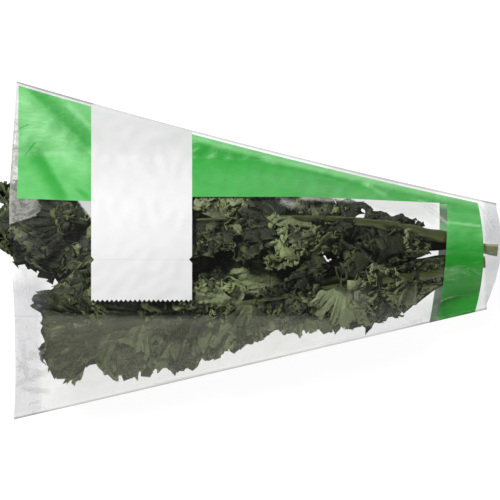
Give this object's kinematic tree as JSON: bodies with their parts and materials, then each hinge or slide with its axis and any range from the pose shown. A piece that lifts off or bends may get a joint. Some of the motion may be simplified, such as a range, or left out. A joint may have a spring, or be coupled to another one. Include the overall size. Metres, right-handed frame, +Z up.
{
  "type": "kale bunch",
  "caption": "Bunch of curly kale leaves on their stems, lying in a tapered clear film sleeve with a printed band, open at both ends.",
  "frame": {"origin": "on the sleeve's flat underside, at the middle of its length", "axes": "+X along the stems, out of the sleeve's narrow neck; +Y towards the sleeve's empty upper edge; +Z up from the table"},
  "size_m": [0.4713, 0.3134, 0.1051],
  "materials": {
    "film": "thin clear glossy film, printed with a plain green band and a pale panel",
    "kale_leaf": "dull dark green leaf with a pale green rib and stem"
  },
  "bodies": {
    "root": {"sleeve": "film", "leaf_01": "kale_leaf", "leaf_02": "kale_leaf", "leaf_03": "kale_leaf", "leaf_04": "kale_leaf", "leaf_05": "kale_leaf", "leaf_06": "kale_leaf", "leaf_07": "kale_leaf", "leaf_08": "kale_leaf", "leaf_09": "kale_leaf", "leaf_10": "kale_leaf"}
  },
  "joints": []
}
